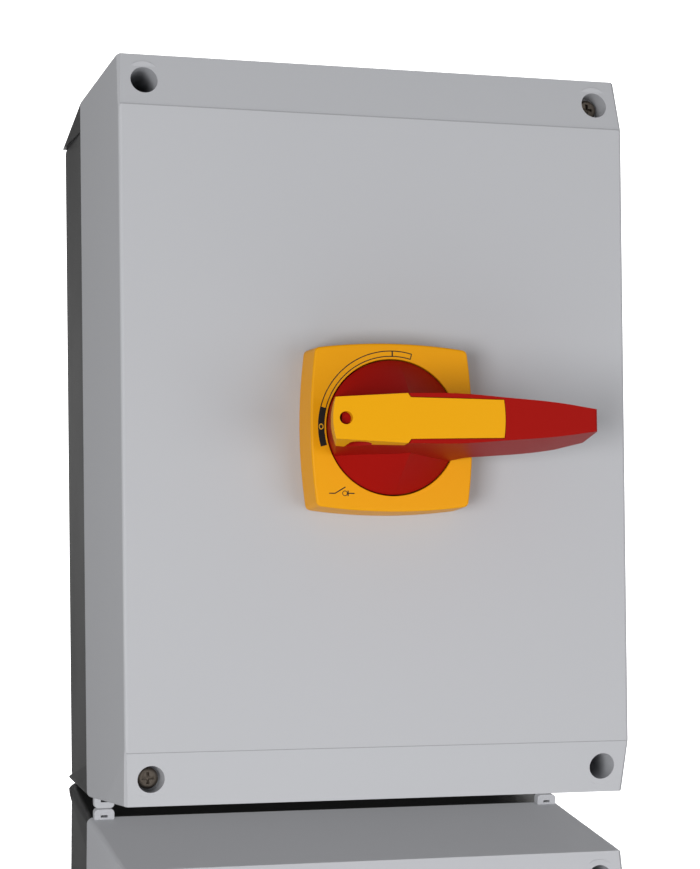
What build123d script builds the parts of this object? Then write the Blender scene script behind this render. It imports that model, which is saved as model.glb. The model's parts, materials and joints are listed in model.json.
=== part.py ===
from build123d import *
import os
from math import sqrt

# Rotary isolator switch in an insulated enclosure, in millimetres.
#
# The frame's origin is the centre of the enclosure's back, on the wall plane. +X is to the right
# of someone who faces the switch, +Z is up, and the front looks along -Y. Every depth in this file
# is a distance in front of the wall, and at(depth) is the sketch plane there: its local x is +X,
# its local y is +Z, and a positive extrusion comes forward.

os.makedirs("parts", exist_ok=True)


def at(depth):
    """The plane parallel to the wall, this far in front of it."""
    return Plane.XZ.offset(depth)


# ---- driving dimensions -------------------------------------------------------------------------

WIDTH = 200.0            # enclosure outline at the parting line
HEIGHT = 280.0
DEPTH = 160.0            # wall to front panel
PARTING = 75.0           # wall to the joint between base and cover
PARTING_GAP = 0.4        # shadow gap between the two mouldings
WALL = 3.0
CORNER_R = 2.5
BACK_CORNER_R = 5.0      # the base's corners are rounder at the wall

SCREW_X = 87.5           # cover screws
SCREW_Z = 127.4
SCREW_POINTS = [(x, z) for x in (-SCREW_X, SCREW_X) for z in (-SCREW_Z, SCREW_Z)]
TALL_POINTS = [(-SCREW_X, -SCREW_Z), (SCREW_X, SCREW_Z)]
DEEP_POINTS = [(-SCREW_X, SCREW_Z), (SCREW_X, -SCREW_Z)]
PILLAR_R = 7.2

FIXING_X = 75.0          # wall fixing holes
FIXING_Z = 115.0
FIXING_R = 3.2
FIXING_POINTS = [(x, z) for x in (-FIXING_X, FIXING_X) for z in (-FIXING_Z, FIXING_Z)]


# ---- base shell: black tray with end wings, pillars and knock-outs ----------------------------------

BASE_FRONT = PARTING - PARTING_GAP
BASE_FLOOR = 4.0
BACK_HALF_W = 98.4       # the wings at the two ends, at the wall
BACK_HALF_H = 139.2
WAIST_HALF_W = 96.6      # the side walls between the wings, at the wall
WING_Z_WALL = 136.6      # the wing's edge runs diagonally along the side wall
WING_Z_FRONT = 127.0
RIM = 6.0                # thickened rim that carries the seal
RIM_DEPTH = 5.0
STANDOFF_R = 6.0
STANDOFF_POINTS = [(x, z) for x in (-38.0, 38.0) for z in (-52.0, 52.0)]
STANDOFF_TOP = 12.0
BLOCK_X = 66.0           # neutral and earth terminal blocks
BLOCK_Z = -84.0
BLOCK_PAD_TOP = 10.0
BLOCK_PAD_W = 38.0
BLOCK_PAD_H = 18.0
FIXING_BOSS_R = 9.0
FIXING_BOSS_H = 4.0      # above the floor
INSERT_R = 3.6
INSERT_BORE_R = 2.6
INSERT_L = 15.0
WASHER_R = 6.3
WASHER_BORE_R = 3.5
WASHER_T = 2.5
STANDOFF_PILOT_R = 2.1
BLOCK_PILOT_R = 1.7
GROOVE_DEPTH = 2.2
KNOCKOUTS = [(-52.0, 20.2), (0.0, 12.8), (52.0, 20.2)]
KNOCKOUT_DEPTH = 38.0
KNOCKOUT_GROOVE = 1.4

with BuildPart() as base_wings:
    with BuildSketch(at(0)):
        RectangleRounded(2 * BACK_HALF_W, 2 * BACK_HALF_H, BACK_CORNER_R)
    with BuildSketch(at(BASE_FRONT)):
        RectangleRounded(WIDTH, HEIGHT, CORNER_R)
    loft()
    with BuildSketch(Plane.YZ):
        with BuildLine():
            Polyline((0, -WING_Z_WALL), (-BASE_FRONT, -WING_Z_FRONT), (-BASE_FRONT, WING_Z_FRONT),
                     (0, WING_Z_WALL), close=True)
        make_face()
    extrude(amount=WIDTH, both=True, mode=Mode.SUBTRACT)

with BuildPart() as base_shell:
    with BuildSketch(at(0)):
        RectangleRounded(2 * WAIST_HALF_W, 2 * BACK_HALF_H, BACK_CORNER_R)
    with BuildSketch(at(BASE_FRONT)):
        RectangleRounded(WIDTH - 0.6, HEIGHT, CORNER_R)
    loft()
    add(base_wings.part)
    with BuildSketch(at(BASE_FLOOR)):
        RectangleRounded(2 * (WAIST_HALF_W - WALL), 2 * (BACK_HALF_H - WALL), 3)
    with BuildSketch(at(BASE_FRONT - RIM_DEPTH)):
        RectangleRounded(WIDTH - 2 * WALL - 1, HEIGHT - 2 * WALL, 3)
    loft(mode=Mode.SUBTRACT)
    with BuildSketch(at(BASE_FRONT - RIM_DEPTH)):
        RectangleRounded(WIDTH - 2 * RIM, HEIGHT - 2 * RIM, 2)
    extrude(amount=RIM_DEPTH, mode=Mode.SUBTRACT)
    # the four pillars that take the cover screws
    with BuildSketch(at(BASE_FLOOR - 1)):
        with Locations(*SCREW_POINTS):
            Circle(PILLAR_R)
    extrude(amount=BASE_FRONT - BASE_FLOOR + 1)
    # standoffs for the mounting plate and pads for the terminal blocks
    with BuildSketch(at(BASE_FLOOR - 1)):
        with Locations(*STANDOFF_POINTS):
            Circle(STANDOFF_R)
    extrude(amount=STANDOFF_TOP - BASE_FLOOR + 1)
    with BuildSketch(at(BASE_FLOOR - 1)):
        with Locations((-BLOCK_X, BLOCK_Z), (BLOCK_X, BLOCK_Z)):
            Rectangle(BLOCK_PAD_W, BLOCK_PAD_H)
    extrude(amount=BLOCK_PAD_TOP - BASE_FLOOR + 1)
    with BuildSketch(at(BASE_FLOOR - 1)):
        with Locations(*FIXING_POINTS):
            Circle(FIXING_BOSS_R)
    extrude(amount=FIXING_BOSS_H + 1)
    # pilot holes: inserts in the pillars, screws in the standoffs and pads
    with BuildSketch(at(BASE_FRONT)):
        with Locations(*SCREW_POINTS):
            Circle(INSERT_R)
    extrude(amount=-INSERT_L - 3, mode=Mode.SUBTRACT)
    with BuildSketch(at(STANDOFF_TOP)):
        with Locations(*STANDOFF_POINTS):
            Circle(STANDOFF_PILOT_R)
    extrude(amount=-8, mode=Mode.SUBTRACT)
    with BuildSketch(at(BLOCK_PAD_TOP)):
        with Locations((-BLOCK_X, BLOCK_Z), (BLOCK_X, BLOCK_Z)):
            Circle(BLOCK_PILOT_R)
    extrude(amount=-6, mode=Mode.SUBTRACT)
    # wall fixing holes with a seat for their sealing washers
    with BuildSketch(at(0)):
        with Locations(*FIXING_POINTS):
            Circle(FIXING_R)
    extrude(amount=BASE_FLOOR + FIXING_BOSS_H, mode=Mode.SUBTRACT)
    with BuildSketch(at(BASE_FLOOR + FIXING_BOSS_H)):
        with Locations(*FIXING_POINTS):
            Circle(WASHER_R + 0.3)
    extrude(amount=-3, mode=Mode.SUBTRACT)
    # knock-outs: a ring groove round each, in both end walls
    for end in (Plane.XY.offset(HEIGHT / 2), Plane.XY.offset(-HEIGHT / 2)):
        with BuildSketch(end):
            for x, radius in KNOCKOUTS:
                with Locations((x, -KNOCKOUT_DEPTH)):
                    Circle(radius)
                    Circle(radius - KNOCKOUT_GROOVE, mode=Mode.SUBTRACT)
        extrude(amount=GROOVE_DEPTH, both=True, mode=Mode.SUBTRACT)
base_shell.part.label = "base_shell"
export_step(base_shell.part, "parts/base_shell.step")

with BuildPart() as wall_washers:
    with BuildSketch(at(BASE_FLOOR + 1)):
        with Locations(*FIXING_POINTS):
            Circle(WASHER_R)
            Circle(WASHER_BORE_R, mode=Mode.SUBTRACT)
    extrude(amount=WASHER_T)
wall_washers.part.label = "wall_washers"
export_step(wall_washers.part, "parts/wall_washers.step")

with BuildPart() as screw_inserts:
    with BuildSketch(at(BASE_FRONT - INSERT_L)):
        with Locations(*SCREW_POINTS):
            Circle(INSERT_R)
            Circle(INSERT_BORE_R, mode=Mode.SUBTRACT)
    extrude(amount=INSERT_L)
screw_inserts.part.label = "screw_inserts"
export_step(screw_inserts.part, "parts/screw_inserts.step")


# ---- fasteners: one function for every cross-recess screw -----------------------------------------


def cross_screws(points, seat, length, shank_r, head_r, head_h, facing=1):
    """Screws on the depth axis. seat is under the head, and facing is 1 for heads to the front."""
    face = seat + facing * head_h
    with BuildPart() as screws:
        with BuildSketch(at(seat)):
            with Locations(*points):
                Circle(shank_r)
        extrude(amount=-facing * length)
        with BuildSketch(at(seat)):
            with Locations(*points):
                Circle(head_r)
        extrude(amount=facing * head_h)
        rims = screws.edges().filter_by(GeomType.CIRCLE).group_by(Axis.Y)
        fillet(rims[0] if facing == 1 else rims[-1], 0.4 * head_h)
        with BuildSketch(at(face)):
            with Locations(*points):
                Rectangle(1.1 * head_r, 0.28 * head_r)
                Rectangle(0.28 * head_r, 1.1 * head_r)
        extrude(amount=-facing * 0.6 * head_h, mode=Mode.SUBTRACT)
    return screws


# ---- cover shell: deep grey moulding with four screw wells -----------------------------------------

FRONT_HALF_W = 97.5
FRONT_HALF_H = 137.3
CREASE_Z = 117.8         # the flat panel ends here, and the end strips slope back
STRIP_DROP = 5.8
STRIP_EDGE_Z = 137.5
CREASE_STEP = 0.35
FACET_FOOT = 118.0       # where the side facet's crease reaches the end of the cover
FACET_INSET = 0.8        # how far the facet leans in at the strip's corner
EDGE_R = 1.3
EDGE_BREAK = 0.7
WELL_R = 5.0
WELL_SHANK_R = 2.8
TALL_SEAT = 146.6
DEEP_SEAT = 105.0
HUB_HOLE_R = 13.0
SEAL_W = 2.4
SEAL_LINE = 2.8          # from the outline to the middle of the seal
TAB_W = 8.0
TAB_X = 93.6
TAB_DROP = 4.0
TAB_T = 4.0
TAB_R = 1.6
TAB_SLOT_W = 2.8
SEAL_DEPTH = 2.2
COVER_SCREW_END = 61.0   # depth that both kinds of cover screw reach
COVER_SCREW_R = 2.45
COVER_HEAD_R = 4.0
COVER_HEAD_H = 2.8
PLATE_SCREW_POINTS = [(x, z) for x in (-22.5, 22.5) for z in (-22.5, 22.5)]


def strip_cutters(inset):
    """Both wedges in front of the sloping end strips, for the outside or for the cavity."""
    for end in (-1, 1):
        with BuildSketch(Plane.YZ) as wedge:
            with BuildLine():
                Polyline((inset - DEPTH - 5, end * (CREASE_Z - inset)),
                         (inset - DEPTH + CREASE_STEP, end * (CREASE_Z - inset)),
                         (inset - DEPTH + STRIP_DROP, end * (STRIP_EDGE_Z - inset)),
                         (inset - DEPTH + 1.6 * STRIP_DROP, end * (STRIP_EDGE_Z + 13)),
                         (inset - DEPTH - 5, end * (STRIP_EDGE_Z + 13)), close=True)
            make_face()
        extrude(wedge.sketch, amount=WIDTH, both=True, mode=Mode.SUBTRACT)


def facet_plane(side, end):
    """The plane of the shallow facet beside an end strip, facing outwards."""
    slope = (WIDTH / 2 - FRONT_HALF_W) / (DEPTH - PARTING)
    foot_x = WIDTH / 2 - slope * (FACET_FOOT - PARTING)
    corner_x = FRONT_HALF_W + slope * STRIP_DROP - FACET_INSET
    crease = Vector(side * FRONT_HALF_W, -DEPTH, end * CREASE_Z)
    foot = Vector(side * foot_x, -FACET_FOOT, end * (HEIGHT / 2 - 1.2))
    corner = Vector(side * corner_x, STRIP_DROP - DEPTH, end * STRIP_EDGE_Z)
    normal = (foot - crease).cross(corner - crease)
    if normal.X * side < 0:
        normal = -normal
    return Plane(origin=crease, z_dir=normal)


def edge_plane(side, end):
    """The plane that breaks the sharp side edge of an end strip."""
    along = Vector(-side * FACET_INSET, STRIP_DROP, end * (STRIP_EDGE_Z - CREASE_Z))
    out = Vector(side, -1, 0)
    normal = out - along * (out.dot(along) / along.dot(along))
    crease = Vector(side * (FRONT_HALF_W - EDGE_BREAK), CREASE_STEP - DEPTH, end * CREASE_Z)
    return Plane(origin=crease, z_dir=normal)


with BuildPart() as cover_cavity:
    with BuildSketch(at(PARTING)):
        RectangleRounded(WIDTH - 2 * RIM, HEIGHT - 2 * RIM, 2)
    extrude(amount=RIM_DEPTH)
    with BuildSketch(at(PARTING + RIM_DEPTH)):
        RectangleRounded(WIDTH - 2 * WALL - 0.4, HEIGHT - 2 * WALL - 0.4, 2)
    with BuildSketch(at(DEPTH - WALL)):
        RectangleRounded(2 * (FRONT_HALF_W - WALL), 2 * (FRONT_HALF_H - WALL), 2)
    loft()
    strip_cutters(WALL)

with BuildPart() as cover_shell:
    with BuildSketch(at(PARTING)):
        RectangleRounded(WIDTH, HEIGHT, CORNER_R)
    with BuildSketch(at(DEPTH)):
        RectangleRounded(2 * FRONT_HALF_W, 2 * FRONT_HALF_H, CORNER_R - 0.5)
    loft()
    long_edges = cover_shell.faces().sort_by(Axis.Y)[0].edges().filter_by(Axis.Z)
    fillet(long_edges, EDGE_R)
    strip_cutters(0)
    for side in (-1, 1):
        for end in (-1, 1):
            split(bisect_by=facet_plane(side, end), keep=Keep.BOTTOM)
            split(bisect_by=edge_plane(side, end), keep=Keep.BOTTOM)
    add(cover_cavity.part, mode=Mode.SUBTRACT)
    # screw wells: solid pillars first, then the bores from the front
    with BuildSketch(at(PARTING)):
        with Locations(*SCREW_POINTS):
            Circle(PILLAR_R)
    extrude(amount=DEPTH - PARTING - WALL - 1.5)
    for points, seat in ((TALL_POINTS, TALL_SEAT), (DEEP_POINTS, DEEP_SEAT)):
        with BuildSketch(at(seat)):
            with Locations(*points):
                Circle(WELL_R)
        extrude(amount=DEPTH, mode=Mode.SUBTRACT)
        with BuildSketch(at(PARTING)):
            with Locations(*points):
                Circle(WELL_SHANK_R)
        extrude(amount=seat - PARTING, mode=Mode.SUBTRACT)
    # seal groove in the rear rim
    with BuildSketch(at(PARTING)):
        RectangleRounded(WIDTH - 2 * SEAL_LINE + SEAL_W, HEIGHT - 2 * SEAL_LINE + SEAL_W, 1.5)
        RectangleRounded(WIDTH - 2 * SEAL_LINE - SEAL_W, HEIGHT - 2 * SEAL_LINE - SEAL_W, 1,
                         mode=Mode.SUBTRACT)
    extrude(amount=SEAL_DEPTH, mode=Mode.SUBTRACT)
    # two tabs under the rear edge, each with a short slot
    with BuildSketch(at(PARTING)):
        with Locations(*[(side * TAB_X, 0.5 - HEIGHT / 2 - TAB_DROP / 2) for side in (-1, 1)]):
            RectangleRounded(TAB_W, TAB_DROP + 1, TAB_R)
        with Locations(*[(side * TAB_X, -HEIGHT / 2 - 1.2) for side in (-1, 1)]):
            Rectangle(TAB_SLOT_W, 1, mode=Mode.SUBTRACT)
    extrude(amount=TAB_T)
    # holes for the handle's bush and for the front plate's screws
    with BuildSketch(at(DEPTH - 2 * WALL)):
        Circle(HUB_HOLE_R)
        with Locations(*PLATE_SCREW_POINTS):
            Circle(1.9)
    extrude(amount=3 * WALL, mode=Mode.SUBTRACT)
cover_shell.part.label = "cover_shell"
export_step(cover_shell.part, "parts/cover_shell.step")

with BuildPart() as cover_seal:
    with BuildSketch(at(BASE_FRONT)):
        RectangleRounded(WIDTH - 2 * SEAL_LINE + SEAL_W, HEIGHT - 2 * SEAL_LINE + SEAL_W, 1.5)
        RectangleRounded(WIDTH - 2 * SEAL_LINE - SEAL_W, HEIGHT - 2 * SEAL_LINE - SEAL_W, 1,
                         mode=Mode.SUBTRACT)
    extrude(amount=PARTING_GAP + SEAL_DEPTH - 0.2)
cover_seal.part.label = "cover_seal"
export_step(cover_seal.part, "parts/cover_seal.step")

tall_screws = cross_screws(TALL_POINTS, TALL_SEAT, TALL_SEAT - COVER_SCREW_END, COVER_SCREW_R,
                           COVER_HEAD_R, COVER_HEAD_H)
tall_screws.part.label = "tall_cover_screws"
export_step(tall_screws.part, "parts/tall_cover_screws.step")

deep_screws = cross_screws(DEEP_POINTS, DEEP_SEAT, DEEP_SEAT - COVER_SCREW_END, COVER_SCREW_R,
                           COVER_HEAD_R, COVER_HEAD_H)
deep_screws.part.label = "deep_cover_screws"
export_step(deep_screws.part, "parts/deep_cover_screws.step")


# ---- yellow front plate: a soft square with bulged sides -------------------------------------------

PLATE_T = 15.5
PLATE_FRONT = DEPTH + PLATE_T
PLATE_BACK_MID = 31.5
PLATE_BACK_CORNER = 29.4
PLATE_FRONT_MID = 30.8
PLATE_FRONT_CORNER = 28.8
PLATE_CORNER_R = 2.2
PLATE_EDGE_R = 0.9
PLATE_HOLLOW = 4.0
PLATE_BOSS_R = 3.9
PLATE_HUB_BOSS_R = 16.0
PLATE_PILOT_R = 1.6
PLATE_SEAL_R = 18.8
PLATE_SEAL_BORE_R = 16.4
PLATE_SEAL_T = 3.0
DISC_R = 24.6
RECESS_R = 25.1
RECESS_FLOOR = DEPTH + 6.5
SPIGOT_R = 10.0
BUSH_CLEAR = 0.06


def soft_square(mid, corner):
    """A square outline whose four sides bulge out to mid between corners at corner."""
    with BuildLine() as outline:
        ThreePointArc((-corner, corner), (0, mid), (corner, corner))
        ThreePointArc((corner, corner), (mid, 0), (corner, -corner))
        ThreePointArc((corner, -corner), (0, -mid), (-corner, -corner))
        ThreePointArc((-corner, -corner), (-mid, 0), (-corner, corner))
    return outline


with BuildPart() as front_plate:
    with BuildSketch(at(DEPTH)) as plate_foot:
        add(soft_square(PLATE_BACK_MID, PLATE_BACK_CORNER).line)
        make_face()
        fillet(plate_foot.vertices(), PLATE_CORNER_R)
    with BuildSketch(at(PLATE_FRONT)) as plate_face:
        add(soft_square(PLATE_FRONT_MID, PLATE_FRONT_CORNER).line)
        make_face()
        fillet(plate_face.vertices(), PLATE_CORNER_R)
    loft(ruled=True)
    fillet(front_plate.faces().sort_by(Axis.Y)[0].outer_wire().edges(), PLATE_EDGE_R)
    with BuildSketch(at(RECESS_FLOOR)):
        Circle(RECESS_R)
    extrude(amount=PLATE_T, mode=Mode.SUBTRACT)
    # hollow back, with a boss round each fixing screw and round the bush
    with BuildSketch(at(DEPTH)):
        RectangleRounded(2 * PLATE_BACK_CORNER - 5, 2 * PLATE_BACK_CORNER - 5, 3)
        Circle(PLATE_HUB_BOSS_R, mode=Mode.SUBTRACT)
        with Locations(*PLATE_SCREW_POINTS):
            Circle(PLATE_BOSS_R, mode=Mode.SUBTRACT)
    extrude(amount=PLATE_HOLLOW, mode=Mode.SUBTRACT)
    with BuildSketch(at(DEPTH)):
        with Locations(*PLATE_SCREW_POINTS):
            Circle(PLATE_PILOT_R)
    extrude(amount=PLATE_HOLLOW + 1.2, mode=Mode.SUBTRACT)
    with BuildSketch(at(DEPTH)):
        Circle(HUB_HOLE_R)
    extrude(amount=PLATE_T, mode=Mode.SUBTRACT)
front_plate.part.label = "front_plate"
export_step(front_plate.part, "parts/front_plate.step")

with BuildPart() as plate_seal:
    with BuildSketch(at(DEPTH)):
        Circle(PLATE_SEAL_R)
        Circle(PLATE_SEAL_BORE_R, mode=Mode.SUBTRACT)
    extrude(amount=PLATE_SEAL_T)
plate_seal.part.label = "plate_seal"
export_step(plate_seal.part, "parts/plate_seal.step")

plate_screws = cross_screws(PLATE_SCREW_POINTS, DEPTH - WALL, 7.6, 1.5, 3.2, 2.2, facing=-1)
plate_screws.part.label = "plate_screws"
export_step(plate_screws.part, "parts/plate_screws.step")

BUSH_FLANGE_BACK = 153.0
BUSH_FLANGE_R = 17.0
with BuildPart() as bearing_bush:
    with BuildSketch(at(BUSH_FLANGE_BACK)):
        Circle(BUSH_FLANGE_R)
    extrude(amount=DEPTH - WALL - BUSH_FLANGE_BACK)
    with BuildSketch(at(DEPTH - WALL)):
        Circle(HUB_HOLE_R - 0.05)
    extrude(amount=RECESS_FLOOR - DEPTH + WALL)
    with BuildSketch(at(BUSH_FLANGE_BACK)):
        Circle(SPIGOT_R + BUSH_CLEAR)
    extrude(amount=30, mode=Mode.SUBTRACT)
bearing_bush.part.label = "bearing_bush"
export_step(bearing_bush.part, "parts/bearing_bush.step")


# ---- red handle: round hipped knob and a long lever, one moulding ------------------------------------

DRIVER_FRONT = 152.0      # depth of the spigot's end, which the driver is screwed to
DRIVER_SCREW_X = 6.5

# Heights here are in front of the panel. x runs from the nose (-) to the lever's tip (+).
DISC_FOOT = 7.0
DISC_TOP = 15.2
HIP_TOP = 33.0
HIP_HALF_Z = 10.65
HIP_X = 1.4
HIP_NOSE = 15.0
LEVER_TOP_H = 52.0       # height at which the plan outline is drawn
DRAFT = 0.105            # flank draft, about six degrees
NOSE_FLARE = 0.19        # the nose end leans outward above the disc's rim
TIP_X = 65.5
TIP_H = 52.3
TIP_DRAFT = 3.6
UNDERSIDE_H = 21.0
UNDERSIDE_END_X = 62.5   # the underside rises from here to the tip
UNDERSIDE_TIP_H = 27.0
TIP_BREAK = 1.4
NOSE_HALF_Z = 6.8        # half widths of the plan, from the nose to the tip
STEP_HALF_W = 8.55
ROOT_X = 10.0
ROOT_HALF_Z = 8.8
WAIST_X = 31.0
WAIST_HALF_Z = 7.6
NECK_X = 52.0
NECK_HALF_Z = 5.9
PLAN_END_X = 72.0
PLAN_END_HALF_Z = 3.1
PLAN_END_SLOPE = -0.11
SIDE_START_X = -33.0     # left of the nose
NOSE_TOP_H = 47.0        # heights of the top edge, from the nose to the tip
STEP_TOP_H = 50.0
UNDERSIDE_X = 26.0       # the underside starts here, and drops to the disc's rim
RIM_DROP_X = 20.0
RIM_FOOT_X = 18.0
SLIDE_STEP_X = -3.9      # the padlock slide's wide cap ends here
SLIDE_END_X = 30.9       # and its tongue ends here
SLIDE_SKIN = 2.6
SLIDE_SIDE = 2.0
SLIDE_NOSE = 3.0
SLIDE_GAP = 0.3
ARCH_X = -19.5           # notch in the cap's sides
ARCH_H = 42.2
ARCH_R = 4.0
SKIRT_NOSE_H = 34.5      # the cap's lower edge at the nose and at the step
SKIRT_STEP_H = 47.2
STEP_HALF_Z = 7.3        # half width of the tongue at the step and at its end
TONGUE_HALF_Z = 6.7
EYE_X = -26.1
EYE_R = 2.3
CLIP_X = 16.0
CLIP_FOOT_H = 43.3
CLIP_RISE = 4.9
CLIP_HALF = 6.4
CLIP_T = 0.55


def lever_outline(height, shrink=0.0, nose_back=0.0):
    """The lever's plan at a height: a nose arc, two gently convex flanks and a blunt tip."""
    grow = (LEVER_TOP_H - height) * DRAFT - shrink
    nose_r = DISC_R + NOSE_FLARE * (height - DISC_TOP) - nose_back
    nose_z = NOSE_HALF_Z + grow
    nose_x = -sqrt(nose_r ** 2 - nose_z ** 2)
    step_z = STEP_HALF_W + grow
    root_z = ROOT_HALF_Z + grow
    waist_z = WAIST_HALF_Z + grow
    neck_z = NECK_HALF_Z + grow
    end_z = PLAN_END_HALF_Z + grow
    with BuildLine() as outline:
        ThreePointArc((nose_x, -nose_z), (-nose_r, 0), (nose_x, nose_z))
        Line((nose_x, nose_z), (SLIDE_STEP_X, step_z))
        Line((SLIDE_STEP_X, step_z), (ROOT_X, root_z))
        Spline((ROOT_X, root_z), (WAIST_X, waist_z), (NECK_X, neck_z), (PLAN_END_X, end_z),
               tangents=((1, 0), (1, PLAN_END_SLOPE)))
        Line((PLAN_END_X, end_z), (PLAN_END_X, -end_z))
        Spline((PLAN_END_X, -end_z), (NECK_X, -neck_z), (WAIST_X, -waist_z), (ROOT_X, -root_z),
               tangents=((-1, PLAN_END_SLOPE), (-1, 0)))
        Line((ROOT_X, -root_z), (SLIDE_STEP_X, -step_z))
        Line((SLIDE_STEP_X, -step_z), (nose_x, -nose_z))
    return outline


def lever_block(shrink=0.0, nose_back=0.0):
    """The drafted block that the lever, its core and the padlock slide are cut from."""
    sections = []
    for height in (DISC_FOOT, LEVER_TOP_H + 2):
        with BuildSketch(at(DEPTH + height)) as section:
            add(lever_outline(height, shrink, nose_back).line)
            make_face()
        sections.append(section.sketch)
    loft(sections, ruled=True)


def top_line(lower=0.0):
    """The side view's top edge: it rises a little from the nose and is nearly level at the tip."""
    return Spline((SIDE_START_X, -DEPTH - NOSE_TOP_H + lower), (-4, -DEPTH - STEP_TOP_H + lower),
                  (WAIST_X, -DEPTH - LEVER_TOP_H + lower), (TIP_X, -DEPTH - TIP_H + lower))


def side_view(lower=0.0, floor=None):
    """Keeps what lies under the top edge and, with a floor, above a line parallel to it."""
    with BuildSketch(Plane.XY) as side:
        with BuildLine():
            edge = top_line(lower)
            if floor is None:
                Polyline(edge @ 1, (TIP_X + TIP_DRAFT, -DEPTH - UNDERSIDE_TIP_H),
                         (UNDERSIDE_END_X, -DEPTH - UNDERSIDE_H),
                         (UNDERSIDE_X, -DEPTH - UNDERSIDE_H), (RIM_DROP_X, -DEPTH - DISC_TOP),
                         (RIM_FOOT_X, -DEPTH - DISC_FOOT), (SIDE_START_X, -DEPTH - DISC_FOOT),
                         edge @ 0)
            else:
                under = top_line(floor)
                Line(edge @ 1, under @ 1)
                Line(edge @ 0, under @ 0)
        make_face()
    extrude(side.sketch, amount=30, both=True, mode=Mode.INTERSECT)


def cap_view(lower=0.0, gap=0.0, arch=True):
    """Keeps the padlock slide's cap: its side view with the arch, and in plan up to the step."""
    left = ARCH_X - ARCH_R
    right = ARCH_X + ARCH_R
    with BuildSketch(Plane.XY) as side:
        with BuildLine():
            edge = top_line(lower)
            Line(edge @ 0, (SIDE_START_X, -DEPTH - SKIRT_NOSE_H + gap))
            Line((SIDE_START_X, -DEPTH - SKIRT_NOSE_H + gap), (left, -DEPTH - SKIRT_NOSE_H + gap))
            if arch:
                Line((left, -DEPTH - SKIRT_NOSE_H), (left, -DEPTH - ARCH_H))
                ThreePointArc((left, -DEPTH - ARCH_H), (ARCH_X, -DEPTH - ARCH_H - ARCH_R),
                              (right, -DEPTH - ARCH_H))
            else:
                Line((left, -DEPTH - SKIRT_NOSE_H + gap), (right, -DEPTH - ARCH_H + gap))
            Line((right, -DEPTH - ARCH_H + gap), (0, -DEPTH - SKIRT_STEP_H + gap))
            Polyline((0, -DEPTH - SKIRT_STEP_H + gap), (TIP_X, -DEPTH - SKIRT_STEP_H + gap),
                     edge @ 1)
        make_face()
    extrude(side.sketch, amount=30, both=True, mode=Mode.INTERSECT)
    with BuildSketch(at(DEPTH)) as plan:
        with BuildLine():
            Polyline((SLIDE_STEP_X + 0.6 + gap, -STEP_HALF_Z),
                     (SLIDE_STEP_X + 0.6 + gap, STEP_HALF_Z),
                     (SLIDE_STEP_X - 4 + gap, 14), (-40, 14), (-40, -14),
                     (SLIDE_STEP_X - 4 + gap, -14), close=True)
        make_face()
    extrude(plan.sketch, amount=LEVER_TOP_H + 8, mode=Mode.INTERSECT)


with BuildPart() as lever_core:
    lever_block(SLIDE_SIDE + SLIDE_GAP, SLIDE_NOSE + SLIDE_GAP)
    side_view(SLIDE_SKIN + SLIDE_GAP)

# everything of the lever that the padlock slide's wide cap takes, with its clearance
with BuildPart() as cap_space:
    lever_block(-1.0, -1.0)
    cap_view(-1.0, SLIDE_GAP, arch=False)
    add(lever_core.part, mode=Mode.SUBTRACT)


def tongue_outline(gap):
    """The slide's narrow tongue in plan, with the clearance of its groove."""
    start_x, corner_x = -36, SLIDE_END_X - 0.5 + gap
    step_z, end_z = STEP_HALF_Z + gap, TONGUE_HALF_Z + gap
    with BuildLine() as outline:
        Line((start_x, step_z), (SLIDE_STEP_X, step_z))
        Line((SLIDE_STEP_X, step_z), (corner_x, end_z))
        ThreePointArc((corner_x, end_z), (SLIDE_END_X + gap, 0), (corner_x, -end_z))
        Line((corner_x, -end_z), (SLIDE_STEP_X, -step_z))
        Line((SLIDE_STEP_X, -step_z), (start_x, -step_z))
        Line((start_x, -step_z), (start_x, step_z))
    return outline


with BuildPart() as tongue_space:
    with BuildSketch(at(DEPTH + DISC_TOP)):
        add(tongue_outline(0.2).line)
        make_face()
    extrude(amount=LEVER_TOP_H)
    side_view(-1.0, SLIDE_SKIN + SLIDE_GAP)

with BuildPart() as handle_body:
    lever_block()
    side_view()
    tip = handle_body.edges().filter_by(lambda e: e.center().X > UNDERSIDE_END_X + 2)
    fillet(tip.filter_by(lambda e: e.length < 16), TIP_BREAK)
    with BuildSketch(at(DEPTH + DISC_FOOT)):
        Circle(DISC_R)
    extrude(amount=DISC_TOP - DISC_FOOT)
    # the hip: from the round rim up to a narrow lens, with a crease over and under the lever
    with BuildSketch(at(DEPTH + DISC_TOP)):
        with BuildLine():
            for quarter in range(4):
                CenterArc((0, 0), DISC_R, 90 * quarter, 90)
        make_face()
    with BuildSketch(at(DEPTH + HIP_TOP)):
        with BuildLine():
            Polyline((HIP_NOSE, 0), (HIP_X, HIP_HALF_Z), (-HIP_NOSE, 0), (HIP_X, -HIP_HALF_Z),
                     close=True)
        make_face()
    loft(ruled=True)
    add(cap_space.part, mode=Mode.SUBTRACT)
    add(tongue_space.part, mode=Mode.SUBTRACT)
    # spigot that turns in the bush, with a groove for its seal
    with BuildSketch(at(DRIVER_FRONT)):
        Circle(SPIGOT_R)
    extrude(amount=DEPTH + DISC_FOOT - DRIVER_FRONT + 1)
    with BuildSketch(at(DEPTH - 1)):
        Circle(SPIGOT_R)
        Circle(SPIGOT_R - 1.6, mode=Mode.SUBTRACT)
    extrude(amount=2.2, mode=Mode.SUBTRACT)
    with BuildSketch(at(DRIVER_FRONT)):
        with Locations((-DRIVER_SCREW_X, 0), (DRIVER_SCREW_X, 0)):
            Circle(1.2)
    extrude(amount=9, mode=Mode.SUBTRACT)
    # pocket for the detent clip under the slide's tongue
    with BuildSketch(at(DEPTH + CLIP_FOOT_H - SLIDE_GAP)):
        with Locations((CLIP_X, 0)):
            Rectangle(2 * CLIP_HALF + 1.2, 5)
    extrude(amount=12, mode=Mode.SUBTRACT)
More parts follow.
